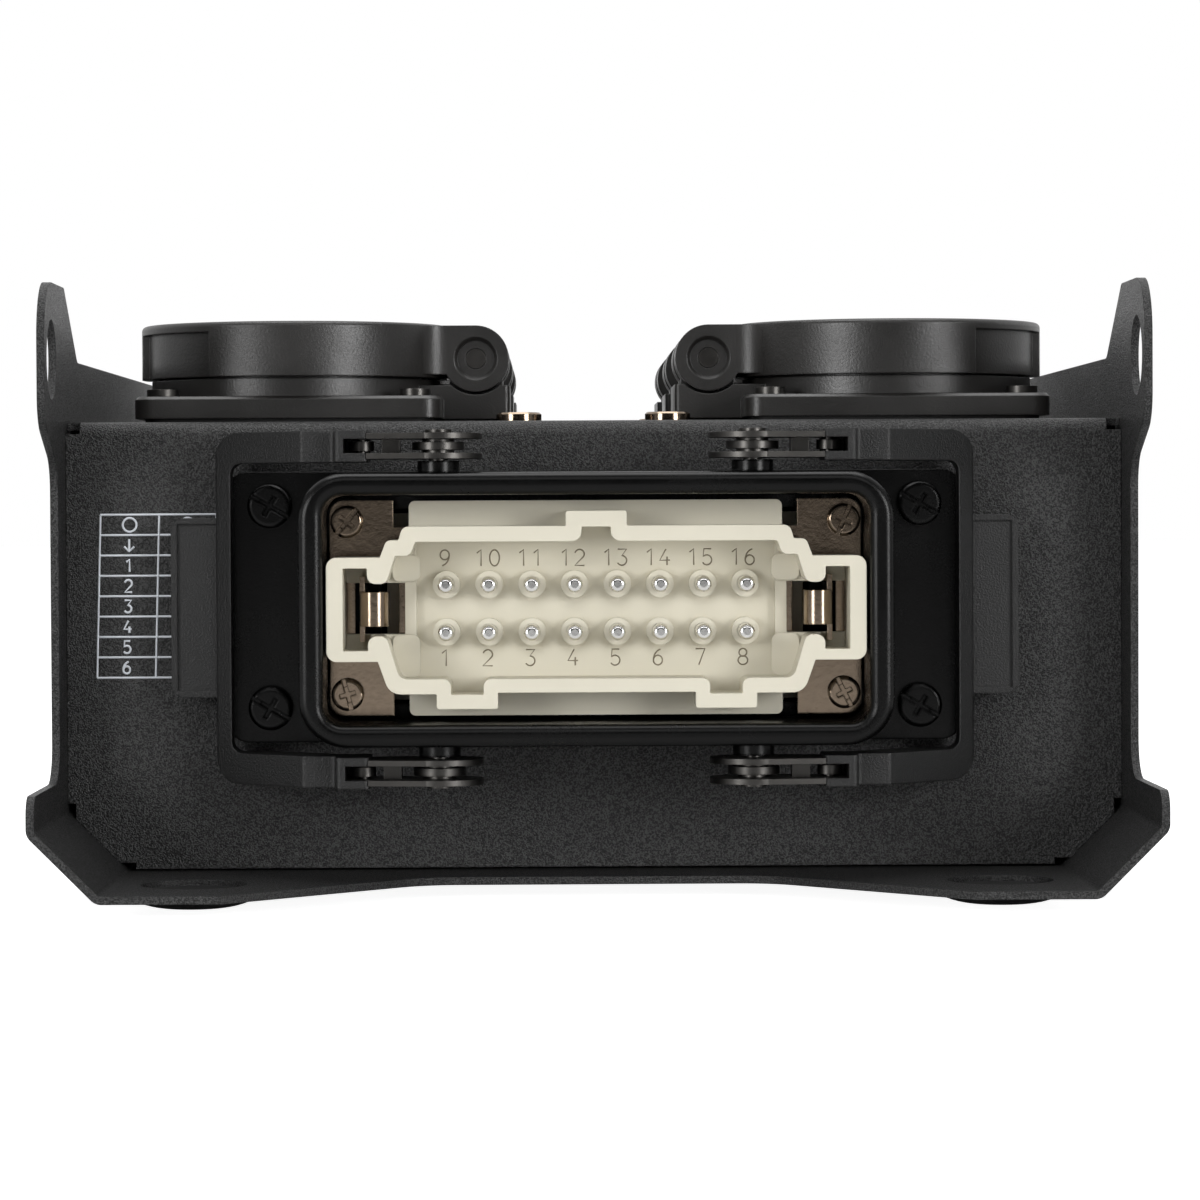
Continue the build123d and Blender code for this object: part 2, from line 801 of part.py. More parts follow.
def hinge_base():
    """The block beside the flange, hollowed under the barrel, with the fixed knuckle on it."""
    x, z = hinge_axis_offset, hinge_axis_rise
    start = x - hinge_block_back
    length = barrel_half_length
    block = slab(start, block_face, -length, length, outlet_gasket_thickness, block_top)
    block = fillet(block.edges().filter_by(Axis.Z).group_by(Axis.X)[-1], lid_edge_round)
    block -= rod_y(barrel_radius + barrel_gap, -length, length, x, z)
    half = knuckle_half_length
    knuckle = rod_y(barrel_radius, -half, half, x, z)
    web = knuckle_web_share * barrel_radius
    web_top = z - sqrt(barrel_radius**2 - web**2)
    knuckle += slab(x - web, x + web, -half, half, outlet_gasket_thickness, web_top)
    slot = spring_half_length + spring_slot_gap
    reach = barrel_radius + barrel_gap
    knuckle -= slab(x - reach, x + reach, -slot, slot, z - barrel_radius + spring_wire, z + reach)
    base = block + knuckle
    return base - rod_y(hinge_pin_diameter / 2 + pin_fixed_gap, -length, length, x, z)


def lid_disc():
    """The round cap with its lip, thumb grips and hollow underside."""
    disc = rod_z(lid_radius, lid_bottom, lid_top)
    disc = fillet(disc.edges().group_by(Axis.Z)[-1], lid_edge_round)
    ring = rod_z(lid_radius + sheet, lid_bottom, lid_top - lid_lip_thickness)
    ring -= rod_z(lid_radius - thumb_depth, lid_bottom, lid_top - lid_lip_thickness)
    far = 2 * lid_radius
    edge = far * tan(radians(thumb_sweep))
    inner = lid_radius * cos(radians(thumb_sweep))
    wedge = Polygon((0, 0), (-far, edge), (-far, -edge), align=None)
    grip = ring & upward(wedge, lid_bottom, lid_top)
    tab = thumb_tab_half_width
    grip -= slab(-far, -inner, -tab, tab, lid_bottom, lid_top)
    return disc - grip


def lid_arm():
    """The arm from the cap to the barrel, swept into the cap's side, and the moving knuckles."""
    x, z = hinge_axis_offset, hinge_axis_rise
    length = barrel_half_length
    bottom = lid_bottom + arm_bottom_gap
    arm = Circle(lid_radius) + Pos(x / 2, 0) * Rectangle(x, 2 * length)
    root = sqrt(lid_radius**2 - length**2)
    corners = [v for v in arm.vertices() if abs(v.X - root) < sheet_fit]
    arm = fillet(corners, arm_sweep)
    arm -= Pos(-lid_radius, 0) * Rectangle(2 * lid_radius + x, 3 * lid_radius)
    barrel = rod_y(barrel_radius, -length, length, x, z)
    return upward(arm, bottom, z + barrel_radius) + barrel


def make_lid():
    lid = lid_disc() + lid_arm()
    lid -= rod_z(lid_skirt_radius, lid_bottom, lid_underside)
    x, z = hinge_axis_offset, hinge_axis_rise
    length = barrel_half_length
    half = knuckle_half_length + knuckle_side_gap
    lid -= rod_y(barrel_radius + barrel_gap, -half, half, x, z)
    lid -= rod_y(hinge_pin_diameter / 2 + pin_running_gap, -length, length, x, z)
    for side in (-1, 1):
        y0, y1 = sorted((side * (length - hinge_pin_recess), side * length))
        lid -= rod_y(hinge_recess_diameter / 2, y0, y1, x, z)
    mouths = [edge for edge in lid.edges().filter_by(GeomType.CIRCLE)
              if abs(edge.radius - hinge_recess_diameter / 2) < pin_fixed_gap
              and abs(abs(edge.center().Y) - length) < pin_fixed_gap]
    return chamfer(mouths, hinge_recess_chamfer)


def make_lid_seal():
    """The soft ring in the lid that closes on the rim of the well."""
    ring = rod_z(seal_outer_radius, collar_top, lid_underside)
    return ring - rod_z(seal_inner_radius, collar_top, lid_underside)


def for_each_outlet(shape):
    """Copies of one shape at all six outlets, kept as separate solids of one piece list."""
    return Compound(children=[at_outlet(place, shape) for place in outlet_places()])


def make_outlet_gasket():
    side = outlet_flange - 2 * outlet_gasket_inset
    ring = upward(RectangleRounded(side, side, outlet_flange_corner), 0, outlet_gasket_thickness)
    ring -= rod_z(tub_radius + hole_gap, 0, outlet_gasket_thickness)
    for x, y in screw_corners(outlet_screw_spread):
        ring -= rod_z(outlet_screw_diameter / 2 + thread_gap, 0, outlet_gasket_thickness, x, y)
    return ring


def make_outlet_screws():
    """The four screws of one outlet."""
    head = rod_z(outlet_screw_head_diameter / 2, flange_top, flange_top + outlet_screw_head_height)
    shank = rod_z(outlet_screw_diameter / 2, flange_top - outlet_screw_length, flange_top)
    return [Pos(x, y, 0) * (head + shank) for x, y in screw_corners(outlet_screw_spread)]


def make_hinge_pin():
    reach = barrel_half_length - hinge_pin_recess
    return rod_y(hinge_pin_diameter / 2, -reach, reach, hinge_axis_offset, hinge_axis_rise)


def make_lid_spring():
    """The close wound coil round the hinge pin, with its fixed leg in the block."""
    x, z = hinge_axis_offset, hinge_axis_rise
    inner = hinge_pin_diameter / 2 + pin_running_gap
    half = spring_half_length
    coil = rod_y(inner + spring_wire, -half, half, x, z) - rod_y(inner, -half, half, x, z)
    coil_side = x - inner - spring_wire / 2
    leg_low = z - barrel_radius + spring_wire
    leg = slab(
        coil_side - spring_wire / 2,
        coil_side + spring_wire / 2,
        -half,
        -half + spring_wire,
        leg_low,
        z,
    )
    return coil + leg - rod_y(inner, -half, half, x, z)


def make_contact_sleeves():
    """The two brass contacts of one outlet, each a sleeve with a tail through the carrier."""
    outer = contact_hole_diameter / 2 - pin_fixed_gap
    bottom = well_floor - contact_depth
    floor = bottom + contact_sleeve_wall
    sleeve = rod_z(outer, bottom, well_floor - contact_sleeve_wall)
    sleeve -= rod_z(outer - contact_sleeve_wall, floor, well_floor)
    sleeve += rod_z(contact_tail_diameter / 2, -tub_depth - contact_tail_length, floor)
    return [Pos(x, 0, 0) * sleeve for x in (-contact_spread, contact_spread)]


def make_earth_clips():
    """The two sprung earth strips at the sides of one well."""
    clips = []
    for side in (-1, 1):
        half = clip_width / 2
        y0, y1 = clip_place(side)
        clips.append(slab(-half, half, y0, y1, -tub_depth - contact_tail_length, collar_top - clip_rise))
    return clips


# Inlet, drawn about its own centre on the outer face of the front panel

def at_inlet(shape):
    return Pos(0, -half_length, inlet_height) * shape


def screw_with_cross(head_diameter, head_height, diameter, length, turn):
    """A pan headed screw along y, its head to the front with a slot and a short, deeper cross."""
    head = rod_y(head_diameter / 2, -head_height, 0)
    head = fillet(head.edges().group_by(Axis.Y)[0], head_height / 3)
    wide = screw_slot_width / 2
    front = -head_height
    slot = slab(-head_diameter, head_diameter, front, front + screw_slot_depth, -wide, wide)
    head -= Rot(0, turn, 0) * slot
    arm = screw_cross_share * head_diameter / 2
    for angle in (turn, turn + 90):
        cross = slab(-arm, arm, front, front + screw_cross_depth, -wide, wide)
        head -= Rot(0, angle, 0) * cross
    return head + rod_y(diameter / 2, 0, length)


def insert_screw_places():
    return [(x, z) for x in (-insert_screw_spread_x, insert_screw_spread_x)
            for z in (-insert_screw_spread_z, insert_screw_spread_z)]


def make_inlet_housing():
    """The bulkhead housing: flange, rim round the insert, posts for its screws, lever bosses."""
    flange = RectangleRounded(inlet_flange_width, inlet_flange_height, inlet_flange_corner)
    body = along(flange, inlet_front_face, inlet_back_face)
    rim = along(RectangleRounded(rim_width, rim_height, rim_corner), -rim_reach, inlet_front_face)
    rim = fillet(rim.edges().group_by(Axis.Y)[0], rim_round)
    cavity = RectangleRounded(rim_inner_width, rim_inner_height, rim_inner_corner)
    rim -= along(cavity, -rim_reach, inlet_front_face)
    rim = fillet(rim.edges().group_by(Axis.Y)[0].filter_by(inner_rim_edge), rim_round)
    body += rim
    opening = RectangleRounded(floor_opening_width, floor_opening_height, bend_inside)
    body -= along(opening, inlet_front_face, inlet_back_face)
    for x, z in insert_screw_places():
        body += rod_y(post_radius, plate_back, inlet_front_face, x, z)
        body -= rod_y(insert_screw_diameter / 2 + pin_fixed_gap, plate_back, inlet_back_face, x, z)
    for x, z in inlet_places():
        body -= rod_y(inlet_screw_diameter / 2 + thread_gap, inlet_front_face, inlet_back_face, x, z)
    for x in (-lever_pivot_x, lever_pivot_x):
        for end in (-1, 1):
            z0, z1 = sorted((end * (rim_height / 2 - rim_round), end * boss_top))
            body += rod_z(boss_radius, z0, z1, x, -lever_pivot_reach)
            z0, z1 = sorted((end * rim_inner_height / 2, end * boss_top))
            body -= rod_z(pivot_pin_diameter / 2 + pin_fixed_gap, z0, z1, x, -lever_pivot_reach)
    return body


def inner_rim_edge(edge):
    """Whether an edge lies on the inner opening of the rim."""
    box = edge.bounding_box()
    reach = max(abs(box.min.X), abs(box.max.X)), max(abs(box.min.Z), abs(box.max.Z))
    slack = (rim_width - rim_inner_width) / 8
    return reach[0] < rim_inner_width / 2 + slack and reach[1] < rim_inner_height / 2 + slack


def make_inlet_gasket():
    width = inlet_flange_width - 2 * inlet_gasket_inset
    height = inlet_flange_height - 2 * inlet_gasket_inset
    gasket = along(RectangleRounded(width, height, inlet_flange_corner), inlet_back_face, 0)
    opening = RectangleRounded(floor_opening_width, floor_opening_height, bend_inside)
    gasket -= along(opening, inlet_back_face, 0)
    for x, z in inlet_places():
        gasket -= rod_y(inlet_screw_diameter / 2 + thread_gap, inlet_back_face, 0, x, z)
    return gasket


def make_inlet_screws():
    screws = []
    for x, z in inlet_places():
        screw = screw_with_cross(
            inlet_screw_head_diameter,
            inlet_screw_head_height,
            inlet_screw_diameter,
            inlet_screw_length,
            inlet_screw_turn,
        )
        screws.append(Pos(x, inlet_front_face, z) * screw)
    return screws


def key(x, width, low, high):
    """A coding key or keyway as a rectangle between two heights."""
    return Pos(x, (low + high) / 2) * Rectangle(width, high - low)


# Half outlines of the shroud and its cavity, from the top middle to the bottom middle.
# Each corner has a reach beyond the last pin, a height and a round; keys come first and last.
shroud_half = [
    (9.96, 8.07, 0.0),
    (18.24, 8.07, 1.6),
    (18.24, -7.94, 1.6),
    (10.36, -7.94, 0.0),
    (8.56, -12.96, 2.4),
]
shroud_shoulder = [(6.46, 12.8, 1.2), (7.11, 10.7, 0.3), (8.96, 10.7, 1.0)]
cavity_shoulder = [(4.56, 10.43, 0.5), (5.3, 8.3, 1.2), (7.66, 8.3, 0.3)]
cavity_hook_top = [(9.0, 4.0, 1.3), (11.96, 4.0, 1.3), (11.96, 6.4, 0.2)]
cavity_pocket = [(15.7, 6.4, 0.2), (15.7, -6.3, 0.2)]
cavity_hook_low = [(11.86, -6.3, 0.2), (11.86, -4.05, 1.3), (9.0, -4.05, 1.3), (7.01, -10.67, 1.6)]
top_key = [(4.68, 15.1, 0.4), (4.68, 12.8, 0.2)]
low_key = [(24.6, -12.96, 0.2), (24.6, -15.26, 0.4), (15.2, -15.26, 0.4), (15.2, -12.78, 0.2)]
top_keyway = [(2.25, 12.65, 0.2), (2.25, 10.43, 1.5)]
low_keyway = [(22.4, -10.67, 1.2), (22.4, -13.07, 0.2), (17.4, -13.07, 0.2), (17.4, -10.67, 1.2)]
ledge_start = 4.66
ledge_end = 7.86
ledge_reach = 16.7
ledge_pad_reach = 17.4
ledge_pads = [(4.2, 8.3), (-10.67, -4.1)]
ledge_pad_corner = 1.1
window_start = 6.46
pocket_start = 11.86


def whole_outline(top, beyond, low):
    """A closed face from the parts of its right half: a key, the end past the pins, another key."""
    half = top + [(row_end + x, z, r) for x, z, r in beyond] + low
    whole = half + [(-x, z, r) for x, z, r in reversed(half)]
    return outline([(x, z) for x, z, r in whole], [r for x, z, r in whole])


def shroud_outline():
    return whole_outline(top_key, shroud_shoulder + shroud_half, low_key)


def shroud_cavity():
    ends = cavity_shoulder + cavity_hook_top + cavity_pocket + cavity_hook_low
    return whole_outline(top_keyway, ends, low_keyway)


def pin_places():
    """Where the pins stand, row by row."""
    columns = [(column - (pin_columns - 1) / 2) * pin_pitch for column in range(pin_columns)]
    return [(x, row * pin_row_pitch / 2) for row in (-1, 1) for x in columns]


def make_insert():
    """The body of the pin carrier: the block in the housing and the tail behind the panel."""
    block = RectangleRounded(insert_block_width, insert_block_height, bend_inside)
    body = along(block, -shroud_floor_reach, inlet_front_face)
    body += along(Rectangle(insert_tail_width, insert_tail_height), inlet_front_face, insert_tail_length)
    for x, z in pin_places():
        body -= rod_y(pin_diameter / 2 + pin_fixed_gap, -shroud_floor_reach, insert_tail_length, x, z)
    return body


def make_shroud():
    """The keyed wall round the pins, with stepped floors and hooked ends for the earth springs."""
    shroud = along(shroud_outline(), -shroud_reach, -insert_plate_reach)
    shoulder = RectangleRounded(insert_block_width, insert_block_height, bend_inside)
    shroud += along(shoulder, -insert_shoulder_reach, -shroud_floor_reach)
    shroud -= along(shoulder, -shroud_floor_reach, -insert_plate_reach)
    cavity = shroud_cavity()
    shroud -= along(cavity, -shroud_reach, -ledge_reach)
    tall = 2 * rim_inner_height
    step = Rectangle(2 * (row_end + pocket_start), tall) - Rectangle(2 * (row_end + ledge_start), tall)
    shroud -= along(cavity - step, -ledge_reach, -shroud_floor_reach)
    for side in (-1, 1):
        shroud += along(cavity & ledge_pads_face(side), -ledge_pad_reach, -ledge_reach)
        shroud -= along(cavity & window_face(side), -ledge_reach, -insert_plate_reach)
    return shroud


def ledge_pads_face(side):
    """The two raised pads at one end of the cavity, each with a rounded corner."""
    width = ledge_end - ledge_start + ledge_pad_corner
    middle = side * (row_end + (ledge_start + ledge_end) / 2)
    pads = [Pos(middle, (low + high) / 2) * RectangleRounded(width, high - low, ledge_pad_corner)
            for low, high in ledge_pads]
    return pads[0] + pads[1]


def window_face(side):
    """The window at one end of the cavity, from the step outwards, that the spring stands in."""
    start, end = row_end + window_start, rim_inner_width / 2
    high = plate_window_half_height
    return Pos(side * (start + end) / 2, 0) * Rectangle(end - start, 2 * high)


def make_pin_sleeves():
    """The low round collars at the feet of the pins."""
    reach = shroud_floor_reach + pin_collar_height
    sleeves = []
    for x, z in pin_places():
        sleeve = rod_y(pin_collar_diameter / 2, -reach, -shroud_floor_reach)
        sleeve -= rod_y(pin_diameter / 2 + pin_fixed_gap, -reach, -shroud_floor_reach)
        sleeves.append(Pos(x, 0, z) * sleeve)
    return sleeves


def make_pins():
    """Sixteen round pins, each with a terminal block behind the insert."""
    pins = []
    for x, z in pin_places():
        pin = rod_y(pin_diameter / 2, -pin_reach, insert_tail_length)
        pin = fillet(pin.edges().group_by(Axis.Y)[0], pin_tip)
        half = terminal_width / 2
        end = insert_tail_length + terminal_length
        up = 1 if z > 0 else -1
        z0, z1 = sorted((-half * up, half * up + up * terminal_screw_rise))
        pin += slab(-half, half, insert_tail_length, end, z0, z1)
        pins.append(Pos(x, 0, z) * pin)
    return pins


def make_end_plate(side):
    """The nickel plate at one end of the insert, with its tabs bent to the rear."""
    outer, inner, high = plate_outer, plate_inner, plate_half_height
    tab_x, tab_z = plate_tab_inner, plate_tab_height
    half = [(inner, tab_z), (tab_x, tab_z), (tab_x, high), (outer, high)]
    points = half + [(x, -z) for x, z in reversed(half)]
    rounds = [0, 0, 0, plate_corner, plate_corner, 0, 0, 0]
    plate = along(outline(points, rounds), -insert_plate_reach, plate_back)
    for end in (-1, 1):
        z0, z1 = sorted((end * (tab_z + plate_thickness), end * high))
        x1 = tab_x + plate_thickness
        plate += slab(tab_x, x1, plate_back, plate_back + plate_tab_length, z0, z1)
        z = end * insert_screw_spread_z
        radius = insert_screw_diameter / 2 + pin_running_gap
        plate -= rod_y(radius, -insert_plate_reach, plate_back, insert_screw_spread_x, z)
    window = plate_window_half_height
    plate -= slab(plate_window_inner, plate_window_outer, -insert_plate_reach, plate_back, -window, window)
    return plate if side > 0 else Rot(0, 180, 0) * plate


def make_earth_spring(side):
    """A bowed leaf beside the pins, with a tail through the plate's window."""
    leaf_half, tongue_half = earth_leaf_half_height, earth_tongue_half_height
    thickness = earth_leaf_thickness
    x0 = earth_leaf_x - thickness / 2
    leaf = slab(x0, x0 + thickness, -earth_leaf_reach, -shroud_floor_reach, -leaf_half, leaf_half)
    reach = earth_tail_length - insert_plate_reach
    tail_half = plate_window_half_height - hole_gap
    leaf += slab(x0, x0 + thickness, -shroud_floor_reach, reach, -tail_half, tail_half)
    bow_radius = (earth_leaf_x + thickness / 2 - earth_tongue_x) / 2
    centre = earth_tongue_x + bow_radius
    bend = rod_z(bow_radius, -tongue_half, tongue_half, centre, -earth_leaf_reach)
    bend -= rod_z(bow_radius - thickness, -tongue_half, tongue_half, centre, -earth_leaf_reach)
    bend -= slab(x0 - 2 * bow_radius, x0 + bow_radius, -earth_leaf_reach, 0, -leaf_half, leaf_half)
    tongue_back = -shroud_floor_reach - thickness
    tongue = slab(
        earth_tongue_x,
        earth_tongue_x + thickness,
        -earth_leaf_reach,
        tongue_back,
        -tongue_half,
        tongue_half,
    )
    spring = leaf + bend + tongue
    return spring if side > 0 else Rot(0, 180, 0) * spring


def make_insert_screws():
    screws = []
    for turn, (x, z) in zip(insert_screw_turns, insert_screw_places()):
        screw = screw_with_cross(
            insert_screw_head_diameter,
            insert_screw_head_height,
            insert_screw_diameter,
            insert_screw_length,
            turn,
        )
        screws.append(Pos(x, -insert_plate_reach, z) * screw)
    return screws


# Locking levers, drawn at the right hand side and turned over for the left

def lever_side(side, shape):
    return shape if side > 0 else Rot(0, 180, 0) * shape


def arm_plate_outline(grow=0.0):
    """One steel plate of an arm: a round end at the pivot, tapering to the grip."""
    y = -lever_pivot_reach
    tip = arm_plate_tip_half_width + grow
    x = lever_pivot_x
    radius = arm_plate_end_radius
    taper = outline([(x, y - radius), (arm_plate_tip_x + grow, y - tip),
                     (arm_plate_tip_x + grow, y + tip), (x, y + radius)], [0, 0, 0, 0])
    return taper + Pos(x, y) * Circle(radius)


def arm_plate_heights():
    """The four plate places of one lever, as the lower face of each."""
    above = [arm_inner_plate_z, arm_outer_plate_z]
    below = [-z - arm_plate_thickness for z in above]
    return above + below


def make_lever_plates(side):
    """The four steel plates that straddle the pivots of one lever."""
    plates = []
    bore = rod_z(pivot_pin_diameter / 2 + pin_running_gap, -arm_cheek_outer_z, arm_cheek_outer_z,
                 lever_pivot_x, -lever_pivot_reach)
    for z in arm_plate_heights():
        plate = upward(arm_plate_outline(), z, z + arm_plate_thickness) - bore
        plates.append(lever_side(side, plate))
    return Compound(children=plates)


def grip_side_outline():
    """The grip from above: a deep fork, a flat step, a slope back to the bow."""
    y = -lever_pivot_reach
    start, end = arm_cheek_start_x, lever_bow_outer_x
    half = arm_plate_tip_half_width + arm_cheek_wall
    points = [
        (start, y - half),
        (arm_step_start_x, y - half),
        (arm_step_start_x, -arm_step_reach),
        (arm_step_end_x, -arm_step_reach),
        (end, -lever_bow_front),
        (end, -lever_bow_back),
        (end - lever_bow_root, -lever_bow_back - sheet),
        (arm_step_start_x, y + half),
        (start, y + half),
    ]
    edge, slope = lever_edge_corner, lever_slope_corner
    return outline(points, [edge, edge, edge, edge, edge, edge, slope, slope, edge])


def grip_front_outline():
    """The grip from the front: two cheeks joined by a bow with a rounded outer and inner corner."""
    high, low = arm_cheek_outer_z, arm_cheek_inner_z
    start, end = arm_cheek_start_x, lever_bow_outer_x
    outer_part = RectangleRounded(2 * end, 2 * high, lever_outer_corner)
    outer_part &= Pos((start + end) / 2, 0) * Rectangle(end - start, 2 * high)
    return outer_part - RectangleRounded(2 * lever_bow_inner_x, 2 * low, lever_inner_corner)


def make_lever_grip(side):
    """The plastic grip: two cheeks, the bow that joins them and the finger tab."""
    deep = lever_pivot_reach + arm_plate_end_radius
    grip = along(grip_front_outline(), -deep, 0)
    grip = grip & upward(grip_side_outline(), -arm_cheek_outer_z, arm_cheek_outer_z)
    tab_half = lever_tab_half_height
    tab_start = (lever_bow_inner_x + lever_bow_outer_x) / 2 + lever_tab_overlap
    tab = slab(tab_start, lever_tab_x, -lever_tab_front, -lever_tab_back, -tab_half, tab_half)
    grip += fillet(tab.edges().filter_by(Axis.Y).group_by(Axis.X)[-1], lever_tab_corner)
    panel_end = lever_tab_x - lever_panel_margin
    panel_half = tab_half - lever_panel_margin
    panel_back = lever_panel_depth - lever_tab_front
    grip -= slab(lever_bow_outer_x, panel_end, -lever_tab_front, panel_back, -panel_half, panel_half)
    for z in arm_plate_heights():
        top = z + arm_plate_thickness + pin_fixed_gap
        grip -= upward(arm_plate_outline(pin_fixed_gap), z - pin_fixed_gap, top)
    low, top = arm_inner_plate_z + arm_plate_thickness, arm_outer_plate_z
    y0, y1 = -lever_pivot_reach - arm_pocket_front, -lever_pivot_reach + arm_pocket_back
    for z0, z1 in ((low, top), (-top, -low)):
        grip -= slab(lever_pivot_x, arm_pocket_end_x, y0, y1, z0, z1)
    return lever_side(side, grip)


def make_lever_fittings(side):
    """The discs round the pivots, and the pegs and rollers between the plates."""
    low, top = arm_inner_plate_z + arm_plate_thickness, arm_outer_plate_z
    middle = (low + top) / 2
    y = -lever_pivot_reach
    pieces = []
    for end in (-1, 1):
        z0, z1 = sorted((end * (middle - disc_thickness / 2), end * (middle + disc_thickness / 2)))
        disc = rod_z(disc_diameter / 2, z0, z1, lever_pivot_x, y)
        z0, z1 = sorted((end * low, end * top))
        disc += rod_z(disc_hub_diameter / 2, z0, z1, lever_pivot_x, y)
        disc -= rod_z(pivot_pin_diameter / 2 + pin_running_gap, z0, z1, lever_pivot_x, y)
        pieces.append(disc)
        half = peg_width / 2
        pieces.append(slab(peg_x - half, peg_x + half, y - peg_depth / 2, y + peg_depth / 2, z0, z1))
        roller = rod_z(roller_pin_diameter / 2, z0, z1, roller_x, y)
        z0, z1 = sorted((end * (middle - roller_thickness / 2), end * (middle + roller_thickness / 2)))
        roller += rod_z(roller_diameter / 2, z0, z1, roller_x, y)
        pieces.append(roller)
    return Compound(children=[lever_side(side, piece) for piece in pieces])


def make_pivot_pins():
    """The four pins in the housing's bosses, with a small head outside the outer plates."""
    pins = []
    for x in (-lever_pivot_x, lever_pivot_x):
        for end in (-1, 1):
            outer = arm_outer_plate_z + arm_plate_thickness + pivot_side_gap
            z0, z1 = sorted((end * rim_inner_height / 2, end * outer))
            pin = rod_z(pivot_pin_diameter / 2, z0, z1, x, -lever_pivot_reach)
            z0, z1 = sorted((end * outer, end * (outer + pivot_head_thickness)))
            pins.append(pin + rod_z(pivot_head_diameter / 2, z0, z1, x, -lever_pivot_reach))
    return Compound(children=pins)


# Earth stud in the floor

def make_earth_stud():
    y = half_length - stud_setback
    return rod_z(stud_diameter / 2, 0, stud_length, stud_x, y)


def make_earth_stud_nuts():
    """A washer and two nuts on the earth stud."""
    y = half_length - stud_setback
    bore = stud_diameter / 2 + thread_gap
    washer = rod_z(stud_washer_diameter / 2, 0, stud_washer_thickness)
    washer -= rod_z(bore, 0, stud_washer_thickness)
    nut = hex_nut(stud_nut_width, stud_nut_height, bore)
    top = sheet + stud_washer_thickness
    return Compound(children=[
        Pos(stud_x, y, sheet) * washer,
        Pos(stud_x, y, top) * nut,
        Pos(stud_x, y, top + stud_nut_height) * nut,
    ])


def group(shapes):
    return Compound(children=list(shapes))


def build_nodes():
    """Every piece by name, with the underside of the feet at height zero."""
    nodes = {
        "chassis_cradle": make_cradle(),
        "rubber_feet": make_feet(),
        "top_cover": make_cover(),
        "cover_side_screws": make_side_screws(),
        "cover_side_nuts": make_side_nuts(),
        "centre_rail": make_rail(),
        "centre_rail_bolts": make_rail_bolts(),
        "centre_rail_nuts": make_rail_nuts(),
        "outlet_gaskets": for_each_outlet(make_outlet_gasket()),
        "outlet_cores": for_each_outlet(make_outlet_core()),
        "outlet_hinge_pins": for_each_outlet(make_hinge_pin()),
        "outlet_lid_springs": for_each_outlet(make_lid_spring()),
        "inlet_housing": at_inlet(make_inlet_housing()),
        "inlet_gasket": at_inlet(make_inlet_gasket()),
        "inlet_housing_screws": group(at_inlet(screw) for screw in make_inlet_screws()),
        "pin_insert": at_inlet(make_insert()),
        "insert_shroud": at_inlet(make_shroud()),
        "pin_collars": group(at_inlet(sleeve) for sleeve in make_pin_sleeves()),
        "contact_pins": group(at_inlet(pin) for pin in make_pins()),
        "insert_plate_left": at_inlet(make_end_plate(-1)),
        "insert_plate_right": at_inlet(make_end_plate(1)),
        "earth_spring_left": at_inlet(make_earth_spring(-1)),
        "earth_spring_right": at_inlet(make_earth_spring(1)),
        "insert_screws": group(at_inlet(screw) for screw in make_insert_screws()),
        "lever_pivot_pins": at_inlet(make_pivot_pins()),
        "earth_stud": make_earth_stud(),
        "earth_stud_nuts": make_earth_stud_nuts(),
    }
    for name, side in (("left", -1), ("right", 1)):
        nodes["lever_grip_" + name] = at_inlet(make_lever_grip(side))
        nodes["lever_plates_" + name] = at_inlet(make_lever_plates(side))
        nodes["lever_fittings_" + name] = at_inlet(make_lever_fittings(side))
    body, lid, seal = make_outlet_body(), make_lid(), make_lid_seal()
    screws, sleeves, clips = [], [], []
    for number, place in enumerate(outlet_places(), start=1):
        nodes["outlet_body_%d" % number] = at_outlet(place, body)
        nodes["outlet_lid_%d" % number] = at_outlet(place, lid)
        nodes["outlet_lid_seal_%d" % number] = at_outlet(place, seal)
        screws += [at_outlet(place, screw) for screw in make_outlet_screws()]
        sleeves += [at_outlet(place, sleeve) for sleeve in make_contact_sleeves()]
        clips += [at_outlet(place, clip) for clip in make_earth_clips()]
    nodes["outlet_screws"] = group(screws)
    nodes["outlet_contacts"] = group(sleeves)
    nodes["outlet_earth_clips"] = group(clips)
    return {name: Pos(0, 0, foot_drop) * shape for name, shape in nodes.items()}


os.makedirs("parts", exist_ok=True)
nodes = build_nodes()
for node_name, node_shape in nodes.items():
    export_step(node_shape, os.path.join("parts", node_name + ".step"))
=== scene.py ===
import json
import math

import bpy
from mathutils import Matrix, Vector


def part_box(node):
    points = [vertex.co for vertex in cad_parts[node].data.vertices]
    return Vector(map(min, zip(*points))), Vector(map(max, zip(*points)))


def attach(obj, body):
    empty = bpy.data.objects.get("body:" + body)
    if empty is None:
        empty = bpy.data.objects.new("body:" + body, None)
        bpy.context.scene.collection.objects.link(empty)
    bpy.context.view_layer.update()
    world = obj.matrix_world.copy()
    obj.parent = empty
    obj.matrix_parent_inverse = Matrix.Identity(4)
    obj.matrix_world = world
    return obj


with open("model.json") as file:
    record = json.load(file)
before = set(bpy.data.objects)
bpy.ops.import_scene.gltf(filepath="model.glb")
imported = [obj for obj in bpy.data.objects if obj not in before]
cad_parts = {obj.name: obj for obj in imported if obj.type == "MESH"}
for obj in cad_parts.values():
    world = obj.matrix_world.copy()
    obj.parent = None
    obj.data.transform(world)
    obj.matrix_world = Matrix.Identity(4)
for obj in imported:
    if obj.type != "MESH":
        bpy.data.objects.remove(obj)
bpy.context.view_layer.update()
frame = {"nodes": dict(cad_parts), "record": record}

MM = 0.001

# Places taken from the CAD frame
panel_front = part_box("top_cover")[0][1]
insert_low, insert_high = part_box("pin_insert")
insert_front = insert_low[1]
insert_centre_z = (insert_low[2] + insert_high[2]) / 2
pins_low, pins_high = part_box("contact_pins")


# Materials

